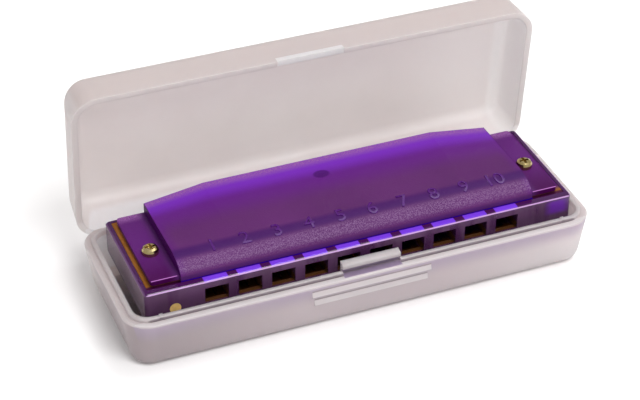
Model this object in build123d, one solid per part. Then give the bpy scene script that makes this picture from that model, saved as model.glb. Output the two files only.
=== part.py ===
from build123d import *
import math
import os

# Hinged polypropylene case holding a ten-hole harmonica. Millimetres.
# The origin is the middle of the tray's flat underside: X along the case, -Y the latch side, +Z up.

# --- Tray -------------------------------------------------------------------------------------
CASE_LENGTH = 108.2          # at the ledge, the widest level of both shells
CASE_WIDTH = 38.0
CORNER_RADIUS = 6.0
TRAY_HEIGHT = 12.0           # underside to ledge
TRAY_DRAFT = 8.0             # degrees
TRAY_EDGE_RADIUS = 3.0       # round between walls and underside
FLOOR_THICKNESS = 1.2
WALL_AT_LEDGE = 2.55         # ledge and lip together
CAVITY_DRAFT = 4.5
CAVITY_EDGE = 1.1            # bevel between floor and walls
LEDGE_EDGE = 0.3             # bevel on the ledge and the lip
BURY = 0.3                   # how far a rib or ridge reaches into the wall that carries it

# --- Lid, described closed --------------------------------------------------------------------
LID_GAP = 0.1                # between the ledge and the lid's rim
LID_DEPTH = 11.0
LID_DRAFT = 5.2
LID_WALL = 1.38
LID_PANEL = 1.0
LID_EDGE_RADIUS = 4.0        # round between walls and panel
LID_OPEN_ANGLE = 84.0        # degrees open in the rest pose

# --- Lip that centres the lid -----------------------------------------------------------------
LIP_HEIGHT = 0.8
LIP_CLEARANCE = 0.12         # to the lid's wall
NUB_X = 46.5                 # small friction nubs near the front corners
NUB_WIDTH = 0.8
NUB_RISE = 0.25
NUB_ROOT = 0.5               # below the ledge

# --- Snap latch at the front ------------------------------------------------------------------
TAB_X = 0.8                  # middle of the tab, to the right of the case's middle
TAB_WIDTH = 13.4
TAB_WEB = 0.65
TAB_SETBACK = 2.85           # front plane of the case to the web's outer face
TAB_TOP = 14.72
TAB_ROOT_Z = 6.5
TAB_BRIDGE = 0.6             # ledge to the top of the root that joins tab and wall
TAB_ROOT_SLOPE = 1.6
TAB_ROOT_BURY = 0.4
HOOK_REACH = 0.9
HOOK_EDGE_Z = 13.35
HOOK_FACE = 0.85             # height of the hook's upright face
HOOK_ROUND = 0.22            # bevel above that face
HOOK_UNDERCUT = 0.15
CATCH_WIDTH = 12.8
CATCH_LOW = 0.4              # above the lid's rim
CATCH_HIGH = 1.05
CATCH_REACH = 0.3
CATCH_LAND = 0.25            # flat along the catch's tip
NOTCH_WIDTH = 15.6           # shallow notch in the lid's rim, over the tab
NOTCH_DEPTH = 0.3

# --- Grip under the latch ---------------------------------------------------------------------
GRIP_X = 0.2
GRIP_WIDTH = 27.6            # upper ridge
GRIP_NARROWING = 1.3         # each ridge below is this much shorter
GRIP_COUNT = 2
GRIP_PITCH = 2.42
GRIP_TOP = 10.6
GRIP_HEIGHT = 1.52           # one ridge
GRIP_REACH = 0.5
GRIP_NOSE = 0.3              # rounded lower edge of a ridge
GRIP_NOSE_BULGE = 0.06       # middle of the nose in front of the chord between its ends

# --- Living hinge -----------------------------------------------------------------------------
FILM_LENGTH = 92.0
FILM_THICKNESS = 0.3
FILM_ROOT_Z = 10.5           # where the strap leaves the tray's back wall
FILM_ROOT_HEIGHT = 0.5
FILM_REACH = 1.7             # lid's rim to the far end of the strap
HINGE_INSET = 1.2            # turning axis in front of the case's back face
HINGE_DROP = 2.0             # and below the ledge
SWING_ROOM = 0.1             # between the turning rim and the tray's rounded back edge
HINGE_Y = CASE_WIDTH / 2 - HINGE_INSET
HINGE_Z = TRAY_HEIGHT - HINGE_DROP

# --- Harmonica, described about its own middle ------------------------------------------------
HARMONICA_X = 0.6            # where it lies in the tray
HARMONICA_Y = 0.4
HOLE_COUNT = 10
HOLE_PITCH = 7.5
HOLE_WIDTH = 5.3
HOLE_HEIGHT = 3.9
COMB_LENGTH = 99.2
COMB_DEPTH = 28.5
COMB_HEIGHT = 7.5
COMB_CORNER = 1.0
COMB_EDGE = 0.35             # bevel
MID_Z = 12.6                 # level of the harmonica's plane of symmetry in the tray
FRONT_RIM = 1.7              # comb in front of the reed plates
SIDE_RIM = 1.1
CHAMBER_LONGEST = 21.35
CHAMBER_SHORTEST = 15.95

PLATE_THICKNESS = 0.9
PLATE_RECESS = 0.95
PLATE_FIT = 0.1
SLOT_WIDTH = 2.2
REED_WIDTH = 2.0
REED_THICKNESS = 0.15
REED_GAP = 0.1               # tongue to plate
REED_MARGIN = 1.75           # front of the reed plate to the nearest reed
REED_LONGEST = 15.4
REED_SHORTEST = 9.4
PAD_LENGTH = 2.8
PAD_WIDTH = 2.7
PAD_THICKNESS = 0.35
RIVET_RADIUS = 0.45
RIVET_HEAD_RADIUS = 0.75
RIVET_HEAD = 0.22
RIVET_CLEARANCE = 0.03
RIVET_SIDES = 6              # a light outline for a small piece made twenty times over
REED_TIP_GAP = 0.15          # tip to the end of its slot
REED_ROOT_LAP = 0.3          # tongue inside its pad

COVER_HALF_LENGTH = 40.9     # middle of the case to the dome's end wall
COVER_BEND = 27.2            # where the raised back starts to slope down to the ends
COVER_FRONT = -12.1
COVER_BACK = 13.1
COVER_SHOULDER_Y = -5.2
COVER_SHOULDER = 3.9         # heights above the reed plate
COVER_BACK_MIDDLE = 5.35
COVER_BACK_END = 3.35
COVER_STEP = 0.8             # upright foot of the dome's front
COVER_WALL = 1.2
FLANGE_HALF_LENGTH = 47.3
FLANGE_THICKNESS = 1.0
FLANGE_FRONT = -11.5
FLANGE_CORNER = 0.8
POST_X = -2.8
POST_Y = 7.3
POST_LENGTH = 6.4
POST_WIDTH = 2.6
POST_CLEARANCE = 0.05

SCREW_X = 44.1
SCREW_Y = -1.4
SCREW_RADIUS = 1.0
SCREW_HOLE_RADIUS = 1.08
HEAD_RADIUS = 1.84
HEAD_HEIGHT = 1.6
HEAD_FLAT_RADIUS = 1.1       # level top of the pan head
HEAD_SHOULDER_RADIUS = 1.58
HEAD_SHOULDER = 0.3          # below the top
HEAD_RIM = 0.8
SCREW_POINT = 0.3            # screw beyond its nut
CROSS_WIDTH = 0.62
CROSS_LENGTH = 2.3
CROSS_DEPTH = 0.8
NUT_ACROSS_FLATS = 4.0
NUT_HEIGHT = 1.6
NUT_BORE_RADIUS = 1.06

RIB_X = 18.0                 # two ribs carry the harmonica in the tray
RIB_WIDTH = 1.6

COMB_TOP = MID_Z + COMB_HEIGHT / 2
SEAT_Z = COMB_TOP - PLATE_RECESS                  # upper reed plate's underside
PLATE_TOP = SEAT_Z + PLATE_THICKNESS
PLATE_FRONT = -COMB_DEPTH / 2 + FRONT_RIM
PLATE_BACK = COMB_DEPTH / 2 - SIDE_RIM
LEDGE_FRONT = -CASE_WIDTH / 2
LID_RIM_Z = TRAY_HEIGHT + LID_GAP
LIP_TOP = TRAY_HEIGHT + LIP_HEIGHT


def share(index):
    """Run from 0 at the first hole to 1 at the last."""
    return index / (HOLE_COUNT - 1)


def hole_x(index):
    return (index - (HOLE_COUNT - 1) / 2) * HOLE_PITCH


def reed_length(index):
    return REED_LONGEST + (REED_SHORTEST - REED_LONGEST) * share(index)


def chamber_length(index):
    return CHAMBER_LONGEST + (CHAMBER_SHORTEST - CHAMBER_LONGEST) * share(index)


def block(x_low, x_high, y_low, y_high, z_low, z_high):
    size = (x_high - x_low, y_high - y_low, z_high - z_low)
    middle = ((x_low + x_high) / 2, (y_low + y_high) / 2, (z_low + z_high) / 2)
    return Pos(*middle) * Box(*size)


def rod(x, y, z_low, z_high, radius):
    return Pos(x, y, (z_low + z_high) / 2) * Cylinder(radius, z_high - z_low)


def peg(x, y, z_low, z_high, radius):
    """A many-sided rod, for rivets and their holes."""
    return Pos(x, y, z_low) * extrude(RegularPolygon(radius, RIVET_SIDES), amount=z_high - z_low)


def bar_along_x(outline, width):
    """Extrude an outline of (y, z) points and arcs evenly to both sides of X = 0."""
    return extrude(Plane.YZ * make_face(outline), amount=width / 2, both=True)


def closed_wire(points):
    return Polyline(*points, close=True)


def rounded_plan(inset):
    """The case's plan outline, moved inwards by inset."""
    return RectangleRounded(CASE_LENGTH - 2 * inset, CASE_WIDTH - 2 * inset, CORNER_RADIUS - inset)


def drafted(inset, z_start, height, draft):
    """A block from the case's plan that narrows as it rises, or as it goes down for height < 0."""
    start = Pos(0, 0, z_start) * rounded_plan(inset)
    direction = (0, 0, math.copysign(1, height))
    return extrude(start, amount=abs(height), dir=direction, taper=draft)


def low_edges(shape):
    return shape.faces().sort_by(Axis.Z)[0].edges()


def high_edges(shape):
    return shape.faces().sort_by(Axis.Z)[-1].edges()


def other_side(shape):
    """The same piece on the lower half of the harmonica."""
    return mirror(shape, about=Plane.XY.offset(MID_Z))


def opened(shape):
    """Turn a piece of the lid from its closed place to the rest pose."""
    return shape.rotate(Axis((0, HINGE_Y, HINGE_Z), (1, 0, 0)), -LID_OPEN_ANGLE)


def cover_underside_z(y):
    """Underside of the lower cover's raised back, between its two bends."""
    slope = (COVER_BACK_MIDDLE - COVER_SHOULDER) / (COVER_BACK - COVER_SHOULDER_Y)
    height = PLATE_TOP + COVER_SHOULDER + slope * (y - COVER_SHOULDER_Y)
    return 2 * MID_Z - height


def tray_wall_inset(z):
    return (TRAY_HEIGHT - z) * math.tan(math.radians(TRAY_DRAFT))


def lid_inner_inset(above_rim):
    return LID_WALL + above_rim * math.tan(math.radians(LID_DRAFT))


def lip_front_y(z):
    """Outer face of the lip's front, LIP_CLEARANCE inside the shut lid."""
    return LEDGE_FRONT + LIP_CLEARANCE + lid_inner_inset(z - TRAY_HEIGHT)


def hinge_relief():
    """Rounds the tray's back edge about the hinge axis, so the lid's rim turns past it."""
    radius = HINGE_DROP + LID_GAP - SWING_ROOM
    half = CASE_LENGTH / 2
    corner = block(-half, half, HINGE_Y, HINGE_Y + 2 * HINGE_DROP, HINGE_Z, HINGE_Z + 2 * HINGE_DROP)
    return corner - Pos(0, HINGE_Y, HINGE_Z) * (Rot(0, 90, 0) * Cylinder(radius, CASE_LENGTH + 2))


def tray_shell():
    outside = drafted(0, TRAY_HEIGHT, -TRAY_HEIGHT, TRAY_DRAFT)
    outside = fillet(low_edges(outside), TRAY_EDGE_RADIUS)
    outside = chamfer(high_edges(outside), LEDGE_EDGE) - hinge_relief()
    lip = drafted(LID_WALL + LIP_CLEARANCE, TRAY_HEIGHT, LIP_HEIGHT, LID_DRAFT)
    lip = chamfer(high_edges(lip), LEDGE_EDGE)
    cavity = drafted(WALL_AT_LEDGE, LIP_TOP, FLOOR_THICKNESS - LIP_TOP, CAVITY_DRAFT)
    cavity = chamfer(low_edges(cavity), CAVITY_EDGE)
    return outside + lip - cavity


def latch_tab():
    """Springy web rooted inside the front wall, with a hook along its outer face."""
    web_front = LEDGE_FRONT + TAB_SETBACK
    web_back = web_front + TAB_WEB
    hook_front = web_front - HOOK_REACH
    wall_y = LEDGE_FRONT + WALL_AT_LEDGE - TAB_ROOT_BURY
    outline = closed_wire([
        (hook_front, HOOK_EDGE_Z + HOOK_FACE),
        (hook_front, HOOK_EDGE_Z),
        (web_front, HOOK_EDGE_Z - HOOK_UNDERCUT),
        (web_front, TRAY_HEIGHT - TAB_BRIDGE),
        (wall_y, TRAY_HEIGHT - TAB_BRIDGE),
        (wall_y, TAB_ROOT_Z),
        (web_back, TAB_ROOT_Z + TAB_ROOT_SLOPE),
        (web_back, TAB_TOP),
        (hook_front + HOOK_ROUND, HOOK_EDGE_Z + HOOK_FACE + HOOK_ROUND),
    ])
    return Pos(TAB_X, 0, 0) * bar_along_x(outline, TAB_WIDTH)


def lip_gap():
    """Room in the lip in front of the latch tab."""
    low = TAB_X - TAB_WIDTH / 2
    high = TAB_X + TAB_WIDTH / 2
    front = LEDGE_FRONT + LID_WALL
    return block(low, high, front, LEDGE_FRONT + TAB_SETBACK, TRAY_HEIGHT, LIP_TOP + 1)


def friction_nub(x):
    """Small bump on the lip's front, drafted like the lid's wall that it stays clear of."""
    low = TRAY_HEIGHT - NUB_ROOT
    top = LIP_TOP + NUB_RISE
    back = LEDGE_FRONT + WALL_AT_LEDGE
    outline = closed_wire([
        (lip_front_y(TRAY_HEIGHT), low),
        (lip_front_y(TRAY_HEIGHT), TRAY_HEIGHT),
        (lip_front_y(top), top),
        (back, top),
        (back, low),
    ])
    return Pos(x, 0, 0) * bar_along_x(outline, NUB_WIDTH)


def grip_ridge(top_z, width):
    """One shingle of the finger grip: flush at its top, proud and rounded at its lower edge."""
    low_z = top_z - GRIP_HEIGHT
    wall_top = LEDGE_FRONT + tray_wall_inset(top_z)
    wall_low = LEDGE_FRONT + tray_wall_inset(low_z)
    nose_top = (wall_low - GRIP_REACH, low_z + GRIP_NOSE)
    nose_low = (wall_low - GRIP_REACH / 2, low_z)
    nose_middle = (
        (nose_top[0] + nose_low[0]) / 2 - GRIP_NOSE_BULGE,
        (nose_top[1] + nose_low[1]) / 2 - GRIP_NOSE_BULGE,
    )
    face = Polyline((wall_top + BURY, top_z), (wall_top, top_z), nose_top)
    nose = ThreePointArc(nose_top, nose_middle, nose_low)
    back = Polyline(nose_low, (wall_low + BURY, low_z), (wall_top + BURY, top_z))
    return Pos(GRIP_X, 0, 0) * bar_along_x(face + nose + back, width)


def rest_rib(x):
    """Rib across the floor whose sloping top carries the lower cover."""
    front = COVER_SHOULDER_Y + 0.8
    back = COVER_BACK - 0.5
    buried = FLOOR_THICKNESS - BURY
    outline = closed_wire([
        (front, buried),
        (back, buried),
        (back, cover_underside_z(back)),
        (front, cover_underside_z(front)),
    ])
    return Pos(x + HARMONICA_X, HARMONICA_Y, 0) * bar_along_x(outline, RIB_WIDTH)


def case_base():
    tray = tray_shell() - lip_gap()
    tray += latch_tab()
    for side in (-1, 1):
        tray += friction_nub(side * NUB_X)
        tray += rest_rib(side * RIB_X)
    for index in range(GRIP_COUNT):
        tray += grip_ridge(GRIP_TOP - index * GRIP_PITCH, GRIP_WIDTH - index * GRIP_NARROWING)
    return tray


def catch_ridge():
    """Rib inside the lid's front wall that the hook sits behind."""
    def wall_y(above_rim):
        return LEDGE_FRONT + lid_inner_inset(above_rim)

    middle = (CATCH_LOW + CATCH_HIGH) / 2
    outline = closed_wire([
        (wall_y(CATCH_LOW) - BURY, LID_RIM_Z + CATCH_LOW),
        (wall_y(CATCH_LOW), LID_RIM_Z + CATCH_LOW),
        (wall_y(middle) + CATCH_REACH, LID_RIM_Z + middle - CATCH_LAND / 2),
        (wall_y(middle) + CATCH_REACH, LID_RIM_Z + middle + CATCH_LAND / 2),
        (wall_y(CATCH_HIGH), LID_RIM_Z + CATCH_HIGH),
        (wall_y(CATCH_HIGH) - BURY, LID_RIM_Z + CATCH_HIGH),
    ])
    return Pos(TAB_X, 0, 0) * bar_along_x(outline, CATCH_WIDTH)


def case_lid():
    outside = drafted(0, LID_RIM_Z, LID_DEPTH, LID_DRAFT)
    outside = fillet(high_edges(outside), LID_EDGE_RADIUS)
    inside = drafted(LID_WALL, LID_RIM_Z, LID_DEPTH - LID_PANEL, LID_DRAFT)
    inside = fillet(high_edges(inside), LID_EDGE_RADIUS - LID_WALL)
    half = NOTCH_WIDTH / 2
    notch_back = LEDGE_FRONT + 2 * LID_WALL
    notch = block(-half, half, LEDGE_FRONT - 1, notch_back, LID_RIM_Z - 1, LID_RIM_Z + NOTCH_DEPTH)
    return opened(outside - inside - notch + catch_ridge())


def living_hinge():
    """Thin strap from the tray's back wall to the lid's, wrapped under the lid's rim in the rest pose."""
    def on_lid(off_wall, above_rim):
        y = CASE_WIDTH / 2 - above_rim * math.tan(math.radians(LID_DRAFT)) + off_wall - HINGE_Y
        z = LID_RIM_Z + above_rim - HINGE_Z
        turn = math.radians(LID_OPEN_ANGLE)
        return (
            HINGE_Y + y * math.cos(turn) + z * math.sin(turn),
            HINGE_Z - y * math.sin(turn) + z * math.cos(turn),
        )

    def on_tray(z):
        return (CASE_WIDTH / 2 - tray_wall_inset(z), z)

    outline = closed_wire([
        on_tray(FILM_ROOT_Z - FILM_ROOT_HEIGHT),
        on_tray(FILM_ROOT_Z),
        on_lid(0, 0),
        on_lid(0, FILM_REACH),
        on_lid(FILM_THICKNESS, FILM_REACH),
        on_lid(FILM_THICKNESS, -FILM_THICKNESS / 2),
    ])
    return bar_along_x(outline, FILM_LENGTH)


def screw_bores(z_low, z_high):
    return [rod(side * SCREW_X, SCREW_Y, z_low, z_high, SCREW_HOLE_RADIUS) for side in (-1, 1)]


def comb():
    low = MID_Z - COMB_HEIGHT / 2
    half = COMB_LENGTH / 2
    body = block(-half, half, -COMB_DEPTH / 2, COMB_DEPTH / 2, low, COMB_TOP)
    body = fillet(body.edges().filter_by(Axis.Z), COMB_CORNER)
    body = chamfer(high_edges(body), COMB_EDGE)
    body = chamfer(low_edges(body), COMB_EDGE)
    recess = block(-half + SIDE_RIM, half - SIDE_RIM, PLATE_FRONT, PLATE_BACK, SEAT_Z, COMB_TOP + 1)
    body = body - recess - other_side(recess)
    for index in range(HOLE_COUNT):
        left = hole_x(index) - HOLE_WIDTH / 2
        right = hole_x(index) + HOLE_WIDTH / 2
        chamber_back = PLATE_FRONT + chamber_length(index)
        body -= block(left, right, PLATE_FRONT, chamber_back, low, COMB_TOP)
        mouth_low = MID_Z - HOLE_HEIGHT / 2
        body -= block(left, right, -COMB_DEPTH / 2 - 1, PLATE_FRONT + 1, mouth_low, mouth_low + HOLE_HEIGHT)
    return body - screw_bores(low - 1, COMB_TOP + 1)


def reed_root_y(index, blow):
    """Middle of the riveted pad: blow reeds are held at the front, draw reeds at the back."""
    if blow:
        return PLATE_FRONT + REED_MARGIN + PAD_LENGTH / 2
    return PLATE_FRONT + REED_MARGIN + reed_length(index) + PAD_LENGTH / 2


def reed_plate(blow):
    """Brass plate with a slot for each reed, made as the upper plate."""
    half = COMB_LENGTH / 2 - SIDE_RIM - PLATE_FIT
    plate = block(-half, half, PLATE_FRONT + PLATE_FIT, PLATE_BACK - PLATE_FIT, SEAT_Z, PLATE_TOP)
    for index in range(HOLE_COUNT):
        x = hole_x(index)
        root = reed_root_y(index, blow)
        towards_tip = 1 if blow else -1
        near = root + towards_tip * PAD_LENGTH / 2
        far = near + towards_tip * (reed_length(index) + REED_TIP_GAP)
        slot_ends = sorted((near, far))
        plate -= block(x - SLOT_WIDTH / 2, x + SLOT_WIDTH / 2, *slot_ends, SEAT_Z - 1, PLATE_TOP + 1)
        plate -= peg(x, root, SEAT_Z - 1, PLATE_TOP + 1, RIVET_RADIUS + RIVET_CLEARANCE)
    plate -= screw_bores(SEAT_Z - 1, PLATE_TOP + 1)
    return plate if blow else other_side(plate)


def reed(index, blow):
    """Tongue and riveted pad. A blow reed hangs under the upper plate, inside its chamber."""
    x = hole_x(index)
    root = reed_root_y(index, blow)
    towards_tip = 1 if blow else -1
    seat = SEAT_Z if blow else PLATE_TOP
    away = -1 if blow else 1
    pad_ends = sorted((root - PAD_LENGTH / 2, root + PAD_LENGTH / 2))
    pad_levels = sorted((seat, seat + away * PAD_THICKNESS))
    pad = block(x - PAD_WIDTH / 2, x + PAD_WIDTH / 2, *pad_ends, *pad_levels)
    pad -= peg(x, root, pad_levels[0] - 1, pad_levels[1] + 1, RIVET_RADIUS + RIVET_CLEARANCE)
    tip = root + towards_tip * (PAD_LENGTH / 2 + reed_length(index))
    tongue_ends = sorted((root + towards_tip * (PAD_LENGTH / 2 - REED_ROOT_LAP), tip))
    tongue_levels = sorted((seat + away * REED_GAP, seat + away * (REED_GAP + REED_THICKNESS)))
    tongue = block(x - REED_WIDTH / 2, x + REED_WIDTH / 2, *tongue_ends, *tongue_levels)
    whole = pad + tongue
    return whole if blow else other_side(whole)


def reed_rivets(blow):
    """Ten rivets of one plate, each a shank with a head on the plate and one on the pad."""
    low = SEAT_Z - PAD_THICKNESS if blow else SEAT_Z
    high = PLATE_TOP if blow else PLATE_TOP + PAD_THICKNESS
    shank = peg(0, 0, low, high, RIVET_RADIUS)
    rivet = shank + peg(0, 0, low - RIVET_HEAD, low, RIVET_HEAD_RADIUS)
    rivet += peg(0, 0, high, high + RIVET_HEAD, RIVET_HEAD_RADIUS)
    group = [Pos(hole_x(i), reed_root_y(i, blow), 0) * rivet for i in range(HOLE_COUNT)]
    rivets = Compound(group)
    return rivets if blow else other_side(rivets)


def dome_section(x, back_height, inset):
    """One cross-section of the cover's dome; inset > 0 gives the hollow inside."""
    foot = PLATE_TOP if inset == 0 else PLATE_TOP - 1
    front = COVER_FRONT + inset
    step_top = PLATE_TOP + COVER_STEP
    shoulder = (COVER_SHOULDER_Y, PLATE_TOP + COVER_SHOULDER - inset)
    back_y = COVER_BACK if inset == 0 else COVER_BACK + 1
    slope = (back_height - COVER_SHOULDER) / (COVER_BACK - COVER_SHOULDER_Y)
    back_z = PLATE_TOP + COVER_SHOULDER - inset + slope * (back_y - COVER_SHOULDER_Y)
    crown_run = COVER_SHOULDER_Y - front
    crown_rise = shoulder[1] - step_top
    centre = (COVER_SHOULDER_Y, step_top)
    crown = EllipticalCenterArc(centre, crown_run, crown_rise, start_angle=90, arc_size=90)
    rest = Polyline(shoulder, (back_y, back_z), (back_y, foot), (front, foot), (front, step_top))
    return Plane.YZ.offset(x) * make_face(crown + rest)


def dome(half_length, inset):
    sections = [
        dome_section(-half_length, COVER_BACK_END, inset),
        dome_section(-COVER_BEND, COVER_BACK_MIDDLE, inset),
        dome_section(COVER_BEND, COVER_BACK_MIDDLE, inset),
        dome_section(half_length, COVER_BACK_END, inset),
    ]
    return loft(sections, ruled=True)


def cover():
    """Upper cover: a thin dome over the reeds, open at the back, with a screw flange at each end."""
    outside = dome(COVER_HALF_LENGTH, 0)
    half = FLANGE_HALF_LENGTH
    flange = block(-half, half, FLANGE_FRONT, COVER_BACK, PLATE_TOP, PLATE_TOP + FLANGE_THICKNESS)
    flange = fillet(flange.edges().filter_by(Axis.Z), FLANGE_CORNER)
    hollow = dome(COVER_HALF_LENGTH - COVER_WALL, COVER_WALL)
    shell = outside + flange - hollow
    post = Pos(POST_X, POST_Y, PLATE_TOP + POST_CLEARANCE) * SlotOverall(POST_LENGTH, POST_WIDTH)
    shell += extrude(post, amount=COVER_SHOULDER)
    return shell - screw_bores(PLATE_TOP - 1, PLATE_TOP + FLANGE_THICKNESS + 1)


def cover_screw(side):
    """Pan-head screw through both covers, with a cross recess."""
    seat = PLATE_TOP + FLANGE_THICKNESS
    top = seat + HEAD_HEIGHT
    end = 2 * MID_Z - seat - NUT_HEIGHT - SCREW_POINT
    profile = closed_wire([
        (0, seat),
        (HEAD_RADIUS, seat),
        (HEAD_RADIUS, top - HEAD_RIM),
        (HEAD_SHOULDER_RADIUS, top - HEAD_SHOULDER),
        (HEAD_FLAT_RADIUS, top),
        (0, top),
    ])
    head = revolve(Plane.XZ * make_face(profile), Axis.Z)
    floor = top - CROSS_DEPTH
    wing = CROSS_WIDTH / 2
    reach = CROSS_LENGTH / 2
    head -= block(-wing, wing, -reach, reach, floor, top + 1)
    head -= block(-reach, reach, -wing, wing, floor, top + 1)
    return Pos(side * SCREW_X, SCREW_Y, 0) * (head + rod(0, 0, end, seat, SCREW_RADIUS))


def cover_nut(side):
    top = 2 * MID_Z - PLATE_TOP - FLANGE_THICKNESS
    hexagon = RegularPolygon(NUT_ACROSS_FLATS / 2, 6, major_radius=False)
    nut = Pos(0, 0, top - NUT_HEIGHT) * extrude(hexagon, amount=NUT_HEIGHT)
    nut -= rod(0, 0, top - NUT_HEIGHT - 1, top + 1, NUT_BORE_RADIUS)
    return Pos(side * SCREW_X, SCREW_Y, 0) * nut


def harmonica_parts():
    parts = {
        "comb": comb(),
        "reed_plate_upper": reed_plate(True),
        "reed_plate_lower": reed_plate(False),
        "reed_rivets_upper": reed_rivets(True),
        "reed_rivets_lower": reed_rivets(False),
        "cover_upper": cover(),
        "cover_lower": other_side(cover()),
        "cover_screw_left": cover_screw(-1),
        "cover_screw_right": cover_screw(1),
        "cover_nut_left": cover_nut(-1),
        "cover_nut_right": cover_nut(1),
    }
    for index in range(HOLE_COUNT):
        parts[f"blow_reed_{index + 1:02d}"] = reed(index, True)
        parts[f"draw_reed_{index + 1:02d}"] = reed(index, False)
    return parts


def all_parts():
    parts = {"case_base": case_base(), "case_lid": case_lid(), "living_hinge": living_hinge()}
    for name, shape in harmonica_parts().items():
        parts[name] = Pos(HARMONICA_X, HARMONICA_Y, 0) * shape
    return parts


os.makedirs("parts", exist_ok=True)
for name, shape in all_parts().items():
    export_step(shape, f"parts/{name}.step")
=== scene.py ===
import math

import bmesh
import bpy
from mathutils import Matrix, Vector


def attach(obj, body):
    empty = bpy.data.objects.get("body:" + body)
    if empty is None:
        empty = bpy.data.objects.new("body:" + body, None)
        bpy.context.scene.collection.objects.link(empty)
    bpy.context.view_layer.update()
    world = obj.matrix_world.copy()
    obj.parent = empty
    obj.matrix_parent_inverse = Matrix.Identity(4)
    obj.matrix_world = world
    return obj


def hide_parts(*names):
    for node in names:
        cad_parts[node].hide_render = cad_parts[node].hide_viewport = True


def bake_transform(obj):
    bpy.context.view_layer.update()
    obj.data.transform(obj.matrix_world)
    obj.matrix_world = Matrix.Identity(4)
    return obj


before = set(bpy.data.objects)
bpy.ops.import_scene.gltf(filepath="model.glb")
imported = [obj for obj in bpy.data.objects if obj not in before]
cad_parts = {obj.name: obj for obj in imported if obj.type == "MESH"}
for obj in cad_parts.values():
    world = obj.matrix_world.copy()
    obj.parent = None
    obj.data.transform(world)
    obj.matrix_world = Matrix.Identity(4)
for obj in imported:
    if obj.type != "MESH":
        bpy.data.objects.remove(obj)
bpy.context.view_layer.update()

MM = 0.001

# --- Camera: the photograph's viewing angle, in the row frame ----------------------------------
CAMERA_RIGHT = Vector((0.92866, -0.37093, 0.00043))
CAMERA_UP = Vector((0.21301, 0.53425, 0.81805))
CAMERA_BACK = Vector((-0.30366, -0.75960, 0.57515))
CAMERA_PLACE = Vector((-136.44, -330.38, 270.20)) * MM
CAMERA_LENS = 112.44
CAMERA_SENSOR = 36.0

# --- Studio: a pale room with two softboxes, in metres and watts --------------------------------
ROOM_COLOUR = (1.0, 0.985, 0.98, 1)
ROOM_STRENGTH = 0.60
KEY_PLACE = (0.08, -0.42, 0.66)
KEY_SIZE = 0.34
KEY_POWER = 3.6
TOP_PLACE = (0.32, 0.14, 0.80)
TOP_SIZE = 0.5
TOP_POWER = 2.6
LIGHTS_AIM = Vector((0, 0, 0.015))
FLOOR_HALF = 2.5

# --- Harmonica, in mm in the row frame, as in the part's source ---------------------------------
HARMONICA_X = 0.6
HARMONICA_Y = 0.4
HOLE_PITCH = 7.5
HOLE_COUNT = 10
HOLE_WIDTH = 5.3
HOLE_LOW = 10.65
COMB_HALF_LENGTH = 49.6
COMB_FRONT = HARMONICA_Y - 14.25
COMB_TOP = 16.35
COMB_EDGE = 0.35                 # bevel
PLATE_FRONT = HARMONICA_Y - 12.55
PLATE_TOP = 16.3
COVER_HALF_LENGTH = 40.9         # the dome, without the flanges at its ends
COVER_FRONT = HARMONICA_Y - 12.1
COVER_SHOULDER_Y = HARMONICA_Y - 5.2
COVER_BACK = HARMONICA_Y + 13.1
COVER_STEP = 0.8                 # above the reed plate, where the dome's curve starts
COVER_SHOULDER = 3.9             # above the reed plate, where it ends
FLANGE_FRONT = HARMONICA_Y - 11.5
FLANGE_TOP = PLATE_TOP + 1.05    # a little above the flange
DOME_LOW = PLATE_TOP + 1.3       # the dome's painted light and shade start here, clear of the flange

# --- Marks, and painted light and shade, on the harmonica -----------------------------------------
NUMBER_FIRST_X = HARMONICA_X - 32.2
NUMBER_PITCH = 7.31
NUMBER_Y = HARMONICA_Y - 7.45
NUMBER_HEIGHT = 3.7
NUMBER_RISE = 0.14
NUMBER_BEVEL = 0.03
FONT_SIZE = 1.35                 # of a digit that is 1 high
DOT_X = HARMONICA_X - 43.0
DOT_Z = 11.35
DOT_RADIUS = 1.25
DOT_THICKNESS = 0.03
CROWN_Y = (HARMONICA_Y - 11.7, HARMONICA_Y - 9.3)      # band of glints along the dome's front
SHOULDER_SHADE_Y = (HARMONICA_Y - 8.8, HARMONICA_Y - 6.2)      # band of painted shade along the dome's shoulder, which carries the numbers
VIOLET_Y = HARMONICA_Y + 3.0     # behind this painted light turns the dome violet,
GLOW_Y = HARMONICA_Y + 8.2       # behind this it glows with painted light,
FROST_SHEEN_Y = COVER_BACK - 1.8       # and behind this its frost carries a painted sheen
FLANGE_SHADE_Y = HARMONICA_Y - 5.0                     # middle of the flanges' fade to painted shade at their front
FLANGE_FADE = 14.0
POST_X = HARMONICA_X - 1.6       # middle of the dark oval of painted shade that stands for the post
POST_Y = HARMONICA_Y + 7.3
POST_HALF_LENGTH = 1.9
POST_HALF_WIDTH = 1.3
REFRACTED_LIGHT_X = (44.5, 49.0)           # painted violet light, refracted, at the right end of the comb's front
REFRACTED_LIGHT_Z = (12.4, 15.7)

# --- Case, in mm in the row frame, with the lid open ----------------------------------------------
LEDGE_Z = 12.0
LIP_TOP = 12.8
LIP_FACE_Y = -17.3
FRONT_WALL_Y = -16.9             # between the front wall's outside and its inside
LEFT_WALL_X = -52.1              # between the left wall's outside and its inside
RIGHT_WALL_X = 50.0              # the right wall is beyond this
TRAY_BACK_Y = 18.5               # in front of the open lid
TRAY_FLOOR_Z = 3.0               # above the bevel between floor and walls
TAB_X = (-5.9, 7.5)
TAB_Y = (-18.2, -15.6)
TAB_TOP = 14.7
GRIP_X = 0.2
GRIP_HALF_WIDTH = 13.8
GRIP_NARROWING = 1.3
GRIP_COUNT = 2
GRIP_TOP = 10.6
GRIP_PITCH = 2.42
GRIP_HEIGHT = 1.52
GRIP_NOSE = 0.35                 # a ridge's rounded lower edge, left as the wall is
GRIP_SHADE_HEIGHT = 0.4                  # band of painted shade over each ridge
LID_FRONT_Y = 15.0               # the open lid is behind this
LID_WALL_Z = 45.0                # its latch-side wall is above this
LID_OPEN_ANGLE = math.radians(84.0)
RIM_PLANE = 20.85                # its rim lies this far from the origin, along the way it faces
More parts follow.
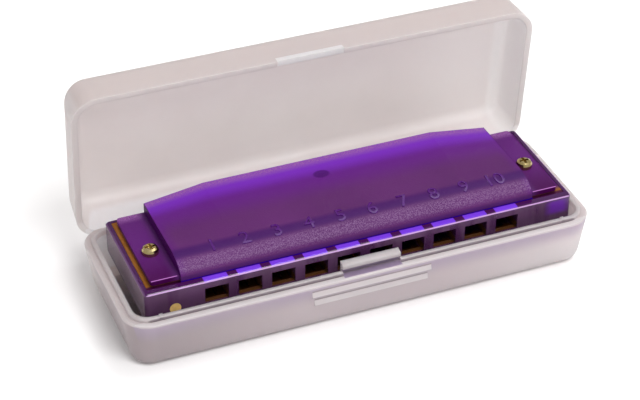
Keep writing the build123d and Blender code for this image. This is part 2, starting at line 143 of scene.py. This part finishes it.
NOTCH_HALF_WIDTH = 7.8           # shallow notch in the rim, at the top of the open lid, under a painted highlight
NOTCH_Z = 44.9
NOTCH_Y = 17.6
STRAP_WELD = 0.001               # corners of its mesh that are closer than this become one

# --- Where the case's painted light and shade fade, in mm -----------------------------------------
RIGHT_SIDE_X = 34.0              # middle of the fade toward the painted light on the right side
LEFT_SIDE_X = -32.0              # middle of the fade toward the painted shade on the tray's left side
SIDE_FADE = 44.0
FRONT_SIDE_Y = 6.0               # middle of the fade that ends the painted light and shade on the tray's outside to the back
FRONT_FADE = 16.0
INSIDE_FADE = 60.0               # the painted light on the tray's inside gets lighter to the left over this width
LILAC_Z = 9.0                    # middle of the fade to painted lilac shade under the ledge
LILAC_FADE = 5.0


def camera():
    data = bpy.data.cameras.new("camera")
    data.lens = CAMERA_LENS
    data.sensor_width = CAMERA_SENSOR
    item = bpy.data.objects.new("camera", data)
    bpy.context.scene.collection.objects.link(item)
    turn = Matrix((CAMERA_RIGHT, CAMERA_UP, CAMERA_BACK)).transposed()
    item.matrix_world = Matrix.Translation(CAMERA_PLACE) @ turn.to_4x4()
    bpy.context.scene.camera = item


def softbox(name, place, size, power):
    """A square area light that faces the middle of the case."""
    data = bpy.data.lights.new(name, "AREA")
    data.shape = "SQUARE"
    data.size = size
    data.energy = power
    item = bpy.data.objects.new(name, data)
    bpy.context.scene.collection.objects.link(item)
    item.location = place
    item.rotation_euler = (LIGHTS_AIM - item.location).to_track_quat("-Z", "Y").to_euler()


def studio():
    room = bpy.data.worlds.new("studio")
    room.use_nodes = True
    background = room.node_tree.nodes["Background"]
    background.inputs["Color"].default_value = ROOM_COLOUR
    background.inputs["Strength"].default_value = ROOM_STRENGTH
    bpy.context.scene.world = room
    bpy.context.scene.view_settings.view_transform = "Standard"
    softbox("key", KEY_PLACE, KEY_SIZE, KEY_POWER)
    softbox("top", TOP_PLACE, TOP_SIZE, TOP_POWER)


class Surface:
    """A Principled material whose nodes are added by short calls.

    A mask is a node's output between 0 and 1. Places, distances and soft edges are in mm. They are read
    from the object's own coordinates, which equal the row frame's at rest, so a tint moves with its piece.
    """

    def __init__(self, name, **settings):
        self.material = bpy.data.materials.new(name)
        self.material.use_nodes = True
        self.nodes = self.material.node_tree.nodes
        self.links = self.material.node_tree.links
        self.shader = self.nodes["Principled BSDF"]
        self.place = self.nodes.new("ShaderNodeTexCoord").outputs["Object"]
        self.axes = self.nodes.new("ShaderNodeSeparateXYZ")
        self.links.new(self.place, self.axes.inputs["Vector"])
        for socket, value in settings.items():
            self.shader.inputs[socket.replace("_", " ")].default_value = value

    def noise(self, cells_per_metre, detail=2.0, stretch=(1, 1, 1)):
        mapping = self.nodes.new("ShaderNodeMapping")
        mapping.inputs["Scale"].default_value = stretch
        grain = self.nodes.new("ShaderNodeTexNoise")
        grain.inputs["Scale"].default_value = cells_per_metre
        grain.inputs["Detail"].default_value = detail
        self.links.new(self.place, mapping.inputs["Vector"])
        self.links.new(mapping.outputs["Vector"], grain.inputs["Vector"])
        return grain.outputs["Fac"]

    def calculate(self, operation, first, second=0.0):
        node = self.nodes.new("ShaderNodeMath")
        node.operation = operation
        for socket, value in zip(node.inputs, (first, second)):
            if isinstance(value, (int, float)):
                socket.default_value = value
            else:
                self.links.new(value, socket)
        return node.outputs[0]

    def spread(self, value, low, high, to_low=0.0, to_high=1.0):
        """Map low..high smoothly to to_low..to_high, and hold both ends."""
        node = self.nodes.new("ShaderNodeMapRange")
        node.interpolation_type = "SMOOTHSTEP"
        for name, number in (("From Min", low), ("From Max", high), ("To Min", to_low), ("To Max", to_high)):
            node.inputs[name].default_value = number
        self.links.new(value, node.inputs["Value"])
        return node.outputs["Result"]

    def after(self, axis, start, soft=0.1):
        """1 beyond start along an axis, 0 before it, with a soft edge around it."""
        return self.spread(self.axes.outputs[axis], (start - soft / 2) * MM, (start + soft / 2) * MM)

    def below(self, axis, end, soft=0.1):
        """1 before end along an axis, 0 beyond it."""
        return self.calculate("SUBTRACT", 1.0, self.after(axis, end, soft))

    def between(self, axis, low, high, soft=0.1):
        return self.both(self.after(axis, low, soft), self.below(axis, high, soft))

    def outside_x(self, distance, soft=0.1):
        """1 further than distance from the harmonica's middle, along X."""
        off_middle = self.calculate("SUBTRACT", self.axes.outputs["X"], HARMONICA_X * MM)
        away = self.calculate("ABSOLUTE", off_middle)
        return self.spread(away, (distance - soft / 2) * MM, (distance + soft / 2) * MM)

    def inside_x(self, distance, soft=0.1):
        """1 nearer than distance to the harmonica's middle, along X."""
        return self.calculate("SUBTRACT", 1.0, self.outside_x(distance, soft))

    def over_holes(self, width, soft):
        """1 in line with each of the ten holes."""
        first = (HARMONICA_X - HOLE_COUNT / 2 * HOLE_PITCH) * MM
        along = self.calculate("SUBTRACT", self.axes.outputs["X"], first)
        cell = self.calculate("FRACT", self.calculate("DIVIDE", along, HOLE_PITCH * MM))
        off_middle = self.calculate("ABSOLUTE", self.calculate("SUBTRACT", cell, 0.5))
        edge = width / 2 / HOLE_PITCH
        half = soft / 2 / HOLE_PITCH
        stripes = self.spread(off_middle, edge - half, edge + half, to_low=1.0, to_high=0.0)
        return self.both(stripes, self.inside_x(HOLE_COUNT / 2 * HOLE_PITCH, soft))

    def both(self, *masks):
        """1 where all the masks are 1."""
        result = masks[0]
        for mask in masks[1:]:
            result = self.calculate("MULTIPLY", result, mask)
        return result

    def ramp(self, factor, low, high, start=0.3, end=0.7):
        """Spread a factor between two colours."""
        ramp = self.nodes.new("ShaderNodeValToRGB")
        ramp.color_ramp.elements[0].position = start
        ramp.color_ramp.elements[1].position = end
        ramp.color_ramp.elements[0].color = (*low, 1)
        ramp.color_ramp.elements[1].color = (*high, 1)
        self.links.new(factor, ramp.inputs["Fac"])
        return ramp.outputs["Color"]

    def mottle(self, factor, dark, light):
        """Start the base colour with two close tones."""
        self.colour = self.ramp(factor, dark, light)
        self.links.new(self.colour, self.shader.inputs["Base Color"])

    def paint(self, colour, *masks):
        """Lay a colour over the base colour where all the masks are 1."""
        node = self.nodes.new("ShaderNodeMix")
        node.data_type = "RGBA"
        node.inputs["B"].default_value = (*colour, 1)
        self.links.new(self.colour, node.inputs["A"])
        self.links.new(self.both(*masks), node.inputs["Factor"])
        self.colour = node.outputs["Result"]
        self.links.new(self.colour, self.shader.inputs["Base Color"])

    def rough(self, factor, low, high, **limits):
        level = self.ramp(factor, (low,) * 3, (high,) * 3, **limits)
        self.links.new(level, self.shader.inputs["Roughness"])

    def bump(self, factor, depth, strength):
        bump = self.nodes.new("ShaderNodeBump")
        bump.inputs["Strength"].default_value = strength
        bump.inputs["Distance"].default_value = depth * MM
        self.links.new(factor, bump.inputs["Height"])
        self.links.new(bump.outputs["Normal"], self.shader.inputs["Normal"])


def frosted_case():
    """Milky plastic. Its tints are painted light and shade, which stand for the light and the harmonica that
    show through the real one.
    """
    surface = Surface("frosted_polypropylene", Transmission_Weight=0.45, IOR=1.49, Subsurface_Weight=1.0,
                      Subsurface_Scale=0.0045, Subsurface_Radius=(1.0, 0.93, 0.91))
    surface.mottle(surface.noise(55, detail=3), dark=(0.835, 0.75, 0.735), light=(0.895, 0.81, 0.795))
    paint_lid(surface)
    paint_tray(surface)
    paint_tray_front(surface)
    paint_grip_light_and_shade(surface)
    paint_notch_highlight(surface)
    fine_texture(surface)
    return surface.material


def strap_plastic():
    """The same plastic as a thin strip. Light doesn't spread inside it, because that turned it dark."""
    surface = Surface("thin_polypropylene", Transmission_Weight=0.1, IOR=1.49)
    surface.mottle(surface.noise(55, detail=3), dark=(0.69, 0.645, 0.635), light=(0.735, 0.69, 0.68))
    fine_texture(surface)
    return surface.material


def fine_texture(surface):
    surface.rough(surface.noise(400), 0.42, 0.54)
    surface.bump(surface.noise(5200), depth=0.012, strength=0.5)


def lid_rim(surface):
    """1 on the face of the open lid's rim."""
    across = surface.calculate("MULTIPLY", surface.axes.outputs["Y"], math.sin(LID_OPEN_ANGLE))
    up = surface.calculate("MULTIPLY", surface.axes.outputs["Z"], math.cos(LID_OPEN_ANGLE))
    depth = surface.calculate("ADD", across, up)
    on_plane = surface.spread(depth, (RIM_PLANE + 0.1) * MM, (RIM_PLANE + 0.2) * MM, to_low=1.0, to_high=0.0)
    above_tray = surface.after("Z", LIP_TOP + 1.0, 1.0)
    return surface.both(on_plane, surface.after("Y", LID_FRONT_Y, 0.2), above_tray)


def paint_lid(surface):
    """Painted light makes the case lighter to the right, and painted shade darkens the lid's latch-side wall
    and rim.
    """
    right_side_light = (0.93, 0.85, 0.84)
    right_wall_light = (1.0, 0.93, 0.92)
    latch_wall_shade = (0.70, 0.62, 0.605)
    rim = (0.77, 0.69, 0.675)
    # painted light: the case gets lighter to the right, and lightest on its right wall
    surface.paint(right_side_light, surface.after("X", RIGHT_SIDE_X, SIDE_FADE))
    surface.paint(right_wall_light, surface.after("X", RIGHT_WALL_X, 1.5))
    # painted shade on the open lid's latch-side wall and on its rim
    surface.paint(latch_wall_shade, surface.after("Z", LID_WALL_Z, 1.2))
    surface.paint(rim, lid_rim(surface))


def paint_tray(surface):
    """Painted shade makes the tray darker than the lid, most of all to the left, and lilac under the ledge.
    Painted light makes its inside light on the left.
    """
    tops_shade = (0.70, 0.62, 0.625)
    walls_shade = (0.70, 0.61, 0.635)
    right_side_light = (0.90, 0.81, 0.82)
    left_side_shade = (0.50, 0.43, 0.45)
    inside = (1.0, 0.94, 0.97)
    lilac = (0.52, 0.44, 0.55)
    around_lip = surface.between("Z", LEDGE_Z - 0.4, TAB_TOP + 0.8, 0.5)
    # painted shade on the tray's top, around its lip
    surface.paint(tops_shade, around_lip, surface.below("Y", TRAY_BACK_Y, 0.5))

    below_ledge = surface.below("Z", LEDGE_Z - 0.35, 0.5)
    outside = surface.both(below_ledge, surface.below("Y", FRONT_SIDE_Y, FRONT_FADE))
    # painted shade on the tray's outside, darkest to the left, with painted light to the right
    surface.paint(walls_shade, outside)
    surface.paint(right_side_light, outside, surface.after("X", RIGHT_SIDE_X, SIDE_FADE))
    surface.paint(left_side_shade, outside, surface.below("X", LEFT_SIDE_X, SIDE_FADE))

    right_of_wall = surface.after("X", LEFT_WALL_X, 0.5)
    behind_corner = surface.after("Y", COMB_FRONT + 0.8, 1.5)
    above_floor = surface.after("Z", TRAY_FLOOR_Z, 1.0)
    toward_left = surface.below("X", 0.0, INSIDE_FADE)
    # painted light on the tray's inside, toward the left
    surface.paint(inside, below_ledge, right_of_wall, behind_corner, above_floor, toward_left)

    near_ledge = surface.after("Z", LILAC_Z, LILAC_FADE)
    clouds = surface.spread(surface.noise(40), 0.3, 0.7, to_low=0.7)
    # painted shade, tinted lilac, on the front wall under the ledge
    surface.paint(lilac, outside, near_ledge, on_front_wall(surface), clouds)


def on_front_wall(surface):
    return surface.below("Y", FRONT_WALL_Y, 0.3)


def paint_tray_front(surface):
    """Painted shade darkens the lip's face over the ledge's painted highlight, and painted shade, tinted
    purple, lies at the snap tab's foot.
    """
    lip = (0.25, 0.205, 0.235)
    ledge = (0.86, 0.78, 0.79)
    purple = (0.38, 0.29, 0.45)
    lip_height = surface.between("Z", LEDGE_Z + 0.04, LIP_TOP - 0.08, 0.08)
    # painted shade on the lip's face
    surface.paint(lip, surface.below("Y", LIP_FACE_Y, 0.2), lip_height)
    ledge_height = surface.between("Z", LEDGE_Z - 0.12, LEDGE_Z + 0.03, 0.06)
    # painted highlight along the ledge
    surface.paint(ledge, ledge_height, on_front_wall(surface))
    tab_height = surface.between("Z", LEDGE_Z - 0.1, LEDGE_Z + 0.9)
    # painted shade, tinted purple, at the snap tab's foot
    surface.paint(purple, surface.between("X", *TAB_X, 0.3), surface.between("Y", *TAB_Y, 0.3), tab_height)


def paint_grip_light_and_shade(surface):
    """Each of the grip's ridges gets a painted highlight, with a band of painted shade over it."""
    bright = (0.88, 0.80, 0.81)
    dark = (0.42, 0.35, 0.38)
    for index in range(GRIP_COUNT):
        top = GRIP_TOP - index * GRIP_PITCH
        half = GRIP_HALF_WIDTH - index * GRIP_NARROWING / 2
        ridge = surface.both(on_front_wall(surface), surface.between("X", GRIP_X - half, GRIP_X + half))
        crease = top + 0.02
        # painted highlight on the ridge's face
        surface.paint(bright, ridge, surface.between("Z", top - GRIP_HEIGHT + GRIP_NOSE, crease))
        # painted shade over the ridge
        surface.paint(dark, ridge, surface.between("Z", crease, top + GRIP_SHADE_HEIGHT))


def paint_notch_highlight(surface):
    """A painted highlight lies on the notch in the lid's rim."""
    bright = (0.98, 0.95, 0.94)
    along = surface.between("X", -NOTCH_HALF_WIDTH, NOTCH_HALF_WIDTH, 0.3)
    # painted highlight on the notch
    surface.paint(bright, along, surface.after("Z", NOTCH_Z, 0.2), surface.below("Y", NOTCH_Y, 0.3))


def purple_cover():
    """Translucent plastic with a fine speckle, and painted light and shade on its dome, its flanges and over
    the post.
    """
    surface = Surface("frosted_purple", Transmission_Weight=0.05, IOR=1.44, Specular_IOR_Level=0.12)
    speckle = surface.noise(4600, detail=1)
    surface.mottle(surface.noise(60, detail=3), dark=(0.083, 0.016, 0.103), light=(0.102, 0.019, 0.126))
    paint_dome(surface, speckle)
    paint_flange(surface)
    paint_post_shade(surface)
    surface.rough(speckle, 0.34, 0.46)
    surface.bump(speckle, depth=0.05, strength=0.8)
    return surface.material


def paint_dome(surface, speckle):
    """Painted light makes the dome violet at its ends and toward its back, with a sheen on the frost of its
    back edge; painted shade and glints band its front.
    """
    ends = (0.098, 0.012, 0.15)
    violet = (0.105, 0.010, 0.19)
    painted_glow = (0.165, 0.022, 0.44)
    frosted_sheen = (0.31, 0.115, 0.36)
    shoulder_shade = (0.052, 0.006, 0.10)
    glint = (0.215, 0.11, 0.255)
    on_dome = surface.after("Z", DOME_LOW, 0.3)
    # painted light: the cover is more violet at its ends
    surface.paint(ends, surface.outside_x(COVER_HALF_LENGTH - 1.0, 3.0))
    # painted light: the dome turns violet toward its back, and glows behind that
    surface.paint(violet, surface.after("Y", VIOLET_Y, 8.0), on_dome)
    surface.paint(painted_glow, surface.after("Y", GLOW_Y, 4.5), on_dome)
    # painted sheen, speckled with the frost, along the dome's back edge
    surface.paint(frosted_sheen, surface.after("Y", FROST_SHEEN_Y, 2.4), surface.spread(speckle, 0.35, 0.65, to_low=0.3))
    # painted shade along the dome's shoulder
    surface.paint(shoulder_shade, surface.between("Y", *SHOULDER_SHADE_Y, 1.6), on_dome)
    # painted glints along the dome's front
    glints = surface.spread(speckle, 0.4, 0.68, to_high=0.85)
    surface.paint(glint, surface.between("Y", *CROWN_Y, 1.4), on_dome, glints)


def paint_flange(surface):
    """The flanges are dark: painted shade darkens them toward their front and darkens the end wall at each
    end of the dome, and a painted highlight runs along their front edge.
    """
    front = (0.055, 0.0, 0.065)
    beside_dome = (0.085, 0.018, 0.125)
    end_wall_shade = (0.055, 0.0, 0.09)
    front_edge_highlight = (0.55, 0.20, 0.62)
    on_flange = surface.below("Z", FLANGE_TOP)
    # painted shade, darker toward the flanges' front
    surface.paint(front, on_flange, surface.below("Y", FLANGE_SHADE_Y, FLANGE_FADE))
    surface.paint(beside_dome, on_flange, surface.inside_x(COVER_HALF_LENGTH + 1.2, 2.4))
    # painted shade on the end wall at each end of the dome
    surface.paint(end_wall_shade, surface.outside_x(COVER_HALF_LENGTH - 0.1), surface.after("Z", FLANGE_TOP))
    at_front = surface.between("Y", FLANGE_FRONT + 0.12, FLANGE_FRONT + 0.34)
    at_top = surface.between("Z", FLANGE_TOP - 0.15, FLANGE_TOP, 0.05)
    # painted highlight along the flanges' front edge
    surface.paint(front_edge_highlight, at_front, at_top, surface.outside_x(COVER_HALF_LENGTH + 0.5, 0.2))


def paint_post_shade(surface):
    """Painted shade: the post under the cover shows through the plastic as a dark oval."""
    dark = (0.045, 0.0, 0.10)
    off_x = surface.calculate("SUBTRACT", surface.axes.outputs["X"], POST_X * MM)
    off_y = surface.calculate("SUBTRACT", surface.axes.outputs["Y"], POST_Y * MM)
    across = surface.calculate("DIVIDE", off_x, POST_HALF_LENGTH * MM)
    along = surface.calculate("DIVIDE", off_y, POST_HALF_WIDTH * MM)
    squares = [surface.calculate("MULTIPLY", part, part) for part in (across, along)]
    oval = surface.spread(surface.calculate("ADD", *squares), 0.6, 1.3, to_low=0.75, to_high=0.0)
    # painted shade of the post
    surface.paint(dark, oval)


def clear_purple():
    """The comb's polished plastic, with the colours that its holes and inner faces show, painted violet
    light, and a painted highlight along its top edges.
    """
    streak = (0.085, 0.02, 0.10)
    left_end = (0.27, 0.17, 0.26)
    bright = (0.70, 0.40, 0.78)
    surface = Surface("clear_purple", Transmission_Weight=0.4, IOR=1.5, Specular_IOR_Level=0.2)
    surface.mottle(surface.noise(120), dark=(0.12, 0.05, 0.125), light=(0.15, 0.06, 0.165))
    surface.paint(streak, surface.spread(surface.noise(260, stretch=(1, 1, 0.12)), 0.45, 0.62))
    paint_comb_front(surface)
    paint_comb_top(surface)
    surface.paint(left_end, surface.outside_x(COMB_HALF_LENGTH - 0.1), surface.below("X", 0.0, 1.0))
    edges = comb_edge_highlights(surface)
    # painted highlight along the comb's top edges
    surface.paint(bright, edges)
    patches = surface.spread(surface.noise(250), 0.3, 0.7, to_high=0.2)
    surface.rough(surface.calculate("MAXIMUM", edges, patches), 0.05, 0.45, start=0.0, end=1.0)
    surface.bump(surface.noise(500), depth=0.006, strength=0.3)
    return surface.material


def paint_comb_front(surface):
    """The holes' floors are brown with brass, and painted violet light lies near the right end of the front.
    """
    brown = (0.14, 0.055, 0.008)
    violet = (0.17, 0.02, 0.46)
    in_holes = surface.after("Y", COMB_FRONT + 0.5, 0.4)
    floors = surface.between("Z", HOLE_LOW - 0.2, HOLE_LOW + 1.6, 0.6)
    surface.paint(brown, in_holes, floors, surface.over_holes(HOLE_WIDTH + 1.2, 0.2))
    on_front = surface.below("Y", COMB_FRONT + 0.2)
    # painted violet light near the right end of the comb's front
    surface.paint(violet, on_front, surface.between("X", *REFRACTED_LIGHT_X, 2.5), surface.between("Z", *REFRACTED_LIGHT_Z, 1.2))


def paint_comb_top(surface):
    """The comb's top is dark, with a patch of painted violet light over each hole."""
    dark = (0.075, 0.006, 0.105)
    violet = (0.25, 0.06, 1.0)
    on_top = surface.after("Z", COMB_TOP - 0.4, 0.2)
    surface.paint(dark, on_top)
    before_plate = surface.between("Y", COMB_FRONT, PLATE_FRONT + 0.2)
    # painted violet light over each hole
    surface.paint(violet, on_top, before_plate, surface.over_holes(HOLE_WIDTH, 0.25))


def comb_edge_highlights(surface):
    """The edges around the comb's top, where a highlight is painted: 1 along the front, and more at the
    right end than at the left.
    """
    front_edge_highlight = surface.between("Y", COMB_FRONT - 0.1, COMB_FRONT + 0.22)
    toward_right = surface.spread(surface.axes.outputs["X"], -10 * MM, 10 * MM, to_low=0.15, to_high=0.8)
    end_edges = surface.both(surface.outside_x(COMB_HALF_LENGTH - COMB_EDGE), toward_right)
    edges = surface.calculate("MAXIMUM", front_edge_highlight, end_edges)
    return surface.both(edges, surface.after("Z", COMB_TOP - COMB_EDGE))


def rolled_brass():
    """Sheet brass. Its front and its right half have the colour of the plastic around them, and painted
    violet light lies along its front under the dome.
    """
    purple_front = (0.10, 0.012, 0.06)
    violet_light_front = (0.09, 0.0, 0.8)
    purple_right = (0.12, 0.015, 0.17)
    surface = Surface("rolled_brass", Metallic=1.0)
    surface.mottle(surface.noise(180, detail=3), dark=(0.36, 0.145, 0.022), light=(0.46, 0.20, 0.04))
    front = surface.below("Y", COVER_FRONT + 0.5, 0.6)
    surface.paint(purple_front, front)
    # painted violet light along the front, under the dome
    surface.paint(violet_light_front, front, surface.inside_x(COVER_HALF_LENGTH, 0.3))
    behind_front = surface.after("Y", PLATE_FRONT + 2.0, 2.0)
    surface.paint(purple_right, surface.after("X", HARMONICA_X, 10.0), behind_front)
    lines = surface.noise(900, stretch=(1, 14, 1))
    surface.rough(lines, 0.28, 0.42)
    surface.bump(lines, depth=0.004, strength=0.5)
    return surface.material


def yellow_zinc():
    surface = Surface("yellow_zinc", Metallic=1.0)
    surface.mottle(surface.noise(700, detail=3), dark=(0.42, 0.32, 0.13), light=(0.58, 0.48, 0.25))
    surface.rough(surface.noise(1500), 0.14, 0.26)
    surface.bump(surface.noise(2500), depth=0.004, strength=0.4)
    return surface.material


def ink(name, colour, roughness):
    """Moulded or printed marks."""
    surface = Surface(name, Roughness=roughness, Specular_IOR_Level=0.3)
    lighter = tuple(part * 1.25 for part in colour)
    surface.mottle(surface.noise(1200), dark=colour, light=lighter)
    surface.bump(surface.noise(3000), depth=0.004, strength=0.4)
    return surface.material


def pale_floor():
    surface = Surface("pale_floor", Roughness=0.8)
    surface.mottle(surface.noise(12), dark=(0.955, 0.95, 0.95), light=(0.97, 0.965, 0.965))
    return surface.material


def mesh_piece(name, build, material):
    """A new mesh piece from a function that fills a bmesh."""
    work = bmesh.new()
    build(work)
    bmesh.ops.recalc_face_normals(work, faces=work.faces)
    mesh = bpy.data.meshes.new(name)
    work.to_mesh(mesh)
    work.free()
    mesh.materials.append(material)
    piece = bpy.data.objects.new(name, mesh)
    bpy.context.scene.collection.objects.link(piece)
    return piece


def floor():
    def build(work):
        corners = [(x * FLOOR_HALF, y * FLOOR_HALF, 0) for x, y in ((-1, -1), (1, -1), (1, 1), (-1, 1))]
        work.faces.new([work.verts.new(corner) for corner in corners])

    mesh_piece("floor", build, pale_floor())


def dress(nodes, material):
    """Give CAD nodes a material, and leave their meshes alone."""
    for name in nodes:
        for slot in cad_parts[name].material_slots:
            slot.link = "OBJECT"
            slot.material = material


def cover_top(y):
    """Height of the upper cover's outside at y, in mm, where its dome curves up from the front."""
    across = (COVER_SHOULDER_Y - y) / (COVER_SHOULDER_Y - COVER_FRONT)
    return PLATE_TOP + COVER_STEP + (COVER_SHOULDER - COVER_STEP) * math.sqrt(1 - across * across)


def digits_mesh(name, digits):
    """Extruded digits around the origin."""
    text = bpy.data.curves.new(name, "FONT")
    text.body = digits
    text.align_x = "CENTER"
    text.align_y = "CENTER"
    text.size = NUMBER_HEIGHT * FONT_SIZE * MM
    text.extrude = NUMBER_RISE * MM
    text.bevel_depth = NUMBER_BEVEL * MM
    text.resolution_u = 6
    source = bpy.data.objects.new("digits", text)
    bpy.context.scene.collection.objects.link(source)
    mesh = bpy.data.meshes.new_from_object(source)
    bpy.data.objects.remove(source)
    return mesh


def hole_numbers(material):
    """Raised numbers on the cover, one over each hole, bent to follow the dome."""
    for index in range(HOLE_COUNT):
        name = f"number_{index + 1:02d}"
        mesh = digits_mesh(name, str(index + 1))
        middle_x = NUMBER_FIRST_X + index * NUMBER_PITCH
        for vertex in mesh.vertices:
            y = NUMBER_Y + vertex.co.y / MM
            vertex.co = Vector((vertex.co.x + middle_x * MM, y * MM, vertex.co.z + cover_top(y) * MM))
        mesh.materials.append(material)
        piece = bpy.data.objects.new(name, mesh)
        bpy.context.scene.collection.objects.link(piece)
        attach(piece, "base")


def front_dot(material):
    """A plain gold dot at the left end of the comb's front face."""
    def build(work):
        turn = Matrix.Rotation(math.pi / 2, 4, "X")
        place = Matrix.Translation(Vector((DOT_X, COMB_FRONT - DOT_THICKNESS / 2, DOT_Z)) * MM)
        bmesh.ops.create_cone(work, cap_ends=True, segments=48, radius1=DOT_RADIUS * MM,
                              radius2=DOT_RADIUS * MM, depth=DOT_THICKNESS * MM, matrix=place @ turn)

    piece = mesh_piece("front_dot", build, material)
    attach(piece, "base")


def hinge_film(material):
    """The thin strap that joins the two shells, between the tray's wall and the lid's rim."""
    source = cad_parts["living_hinge"].data

    def build(work):
        work.from_mesh(source)
        bmesh.ops.remove_doubles(work, verts=work.verts, dist=STRAP_WELD * MM)
        for face in work.faces:
            face.smooth = False

    piece = mesh_piece("hinge_film", build, material)
    if "custom_normal" in piece.data.attributes:
        piece.data.attributes.remove(piece.data.attributes["custom_normal"])
    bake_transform(piece)
    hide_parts("living_hinge")


camera()
studio()
floor()

brass = rolled_brass()
dress(["case_base", "case_lid"], frosted_case())
dress(["cover_upper", "cover_lower"], purple_cover())
dress(["comb"], clear_purple())
dress(["reed_plate_upper", "reed_plate_lower", "reed_rivets_upper", "reed_rivets_lower"], brass)
dress([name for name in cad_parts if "_reed_" in name], brass)
dress([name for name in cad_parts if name.startswith(("cover_screw", "cover_nut"))], yellow_zinc())
hinge_film(strap_plastic())
hole_numbers(ink("raised_number", (0.055, 0.002, 0.115), roughness=0.26))
front_dot(ink("gold_mark", (0.62, 0.42, 0.14), roughness=0.35))
